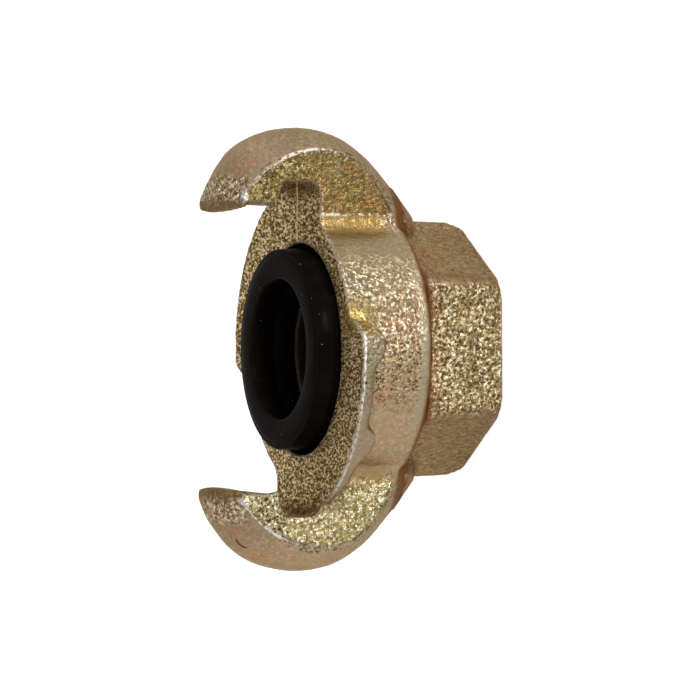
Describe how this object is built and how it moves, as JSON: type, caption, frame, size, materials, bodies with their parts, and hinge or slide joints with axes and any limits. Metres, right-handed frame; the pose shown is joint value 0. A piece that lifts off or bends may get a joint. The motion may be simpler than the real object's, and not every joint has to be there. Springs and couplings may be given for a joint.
{
  "type": "claw hose coupling",
  "caption": "Cast claw coupling half with hexagon, female pipe thread, hooked claws, cammed lugs and a rubber face seal.",
  "frame": {"origin": "centre of the hexagon's end face, on the bore's axis", "axes": "+Z along the bore from the hexagon to the seal, +Y towards one claw, +X square to both"},
  "size_m": [0.051, 0.0682, 0.042],
  "materials": {
    "passivated_casting": "malleable casting, zinc plated and yellow passivated, grainy with a faint iridescence",
    "black_rubber": "black moulded rubber, satin"
  },
  "bodies": {
    "root": {"coupling_body": "passivated_casting", "seal_ring": "black_rubber"}
  },
  "joints": []
}
